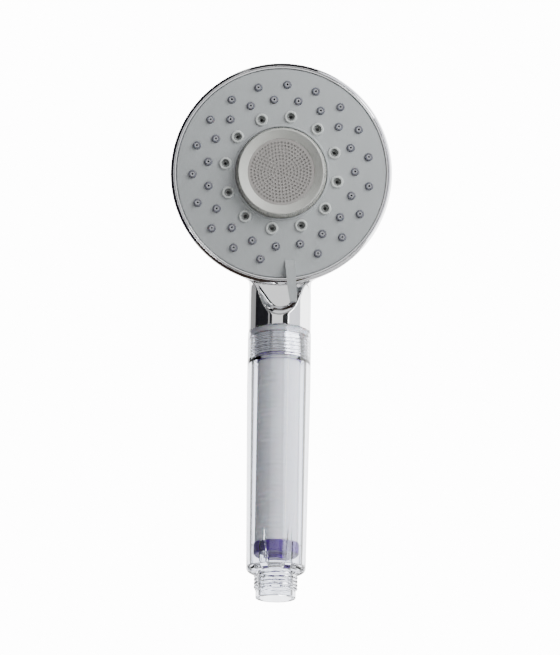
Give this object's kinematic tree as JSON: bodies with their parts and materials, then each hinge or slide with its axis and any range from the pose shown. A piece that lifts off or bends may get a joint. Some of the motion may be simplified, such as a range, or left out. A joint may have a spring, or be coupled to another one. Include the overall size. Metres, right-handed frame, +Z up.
{
  "type": "handheld shower head",
  "caption": "Round chrome shower head with a tilted grey spray face, mode lever and knurled mist ring, on a clear filter handle with a threaded hose inlet.",
  "frame": {"origin": "centre of the hose inlet's end face", "axes": "+Z up the handle, the spray face looks towards -Y and 15 degrees down, +X to the viewer's right"},
  "size_m": [0.1082, 0.0613, 0.2584],
  "materials": {
    "clear": "clear polycarbonate, polished",
    "cotton": "wound white melt-blown cotton",
    "cap_purple": "moulded, satin",
    "chrome": "bright chrome plate on plastic",
    "face_grey": "fine satin moulded",
    "hub_grey": "satin moulded",
    "silicone": "soft silicone",
    "seal": "moulded rubber",
    "frost": "translucent grey silicone",
    "inner_white": "moulded",
    "steel": "fine brushed"
  },
  "bodies": {
    "handle": {"clear_handle": "clear", "pp_filter": "cotton", "filter_core": "inner_white", "upper_cap": "cap_purple", "upper_cap_o_ring": "seal", "lower_cap": "cap_purple"},
    "neck_gasket": {"neck_gasket": "frost"},
    "head": {"head_shell": "chrome", "bezel_ring": "chrome", "water_body": "inner_white", "tube_o_ring": "seal", "body_screws": "steel", "diverter_seal": "seal", "diverter_springs": "steel", "detent_ball": "steel", "detent_spring": "steel", "centre_screw": "steel", "centre_washer": "steel"},
    "spray_face": {"face_plate": "face_grey", "selector_lever": "face_grey", "nozzle_mat": "silicone", "jet_ring": "face_grey", "chamber_plate": "inner_white", "chamber_o_ring": "seal"},
    "mist_plate": {"mist_plate": "steel", "mist_seal": "seal"},
    "mist_ring": {"mist_ring": "hub_grey"}
  },
  "joints": [
    {"name": "neck_lift", "type": "slide", "parent": "handle", "child": "neck_gasket", "axis": [0, 0, 1], "range_m": [0, 0.01098]},
    {"name": "neck_unscrew", "type": "hinge", "parent": "neck_gasket", "child": "head", "pos_m": [0, 0, 0.126], "axis": [0, 0, 1], "range_deg": [0, 2160.1]},
    {"name": "mode_select", "type": "hinge", "parent": "head", "child": "spray_face", "pos_m": [0, -0.032, 0.20426], "axis": [0, -0.9659, -0.2588], "range_deg": [-12.3, 0]},
    {"name": "mist_lift", "type": "slide", "parent": "spray_face", "child": "mist_plate", "axis": [0, -0.9659, -0.2588], "range_m": [0, 0.00225]},
    {"name": "mist_unscrew", "type": "hinge", "parent": "mist_plate", "child": "mist_ring", "pos_m": [0, -0.032, 0.20426], "axis": [0, -0.9659, -0.2588], "range_deg": [0, 540.1]}
  ],
  "couplings": [
    {"joint": "neck_unscrew", "follows": "neck_lift", "rad_per_m": 3433.4},
    {"joint": "mist_unscrew", "follows": "mist_lift", "rad_per_m": 4188.8}
  ]
}
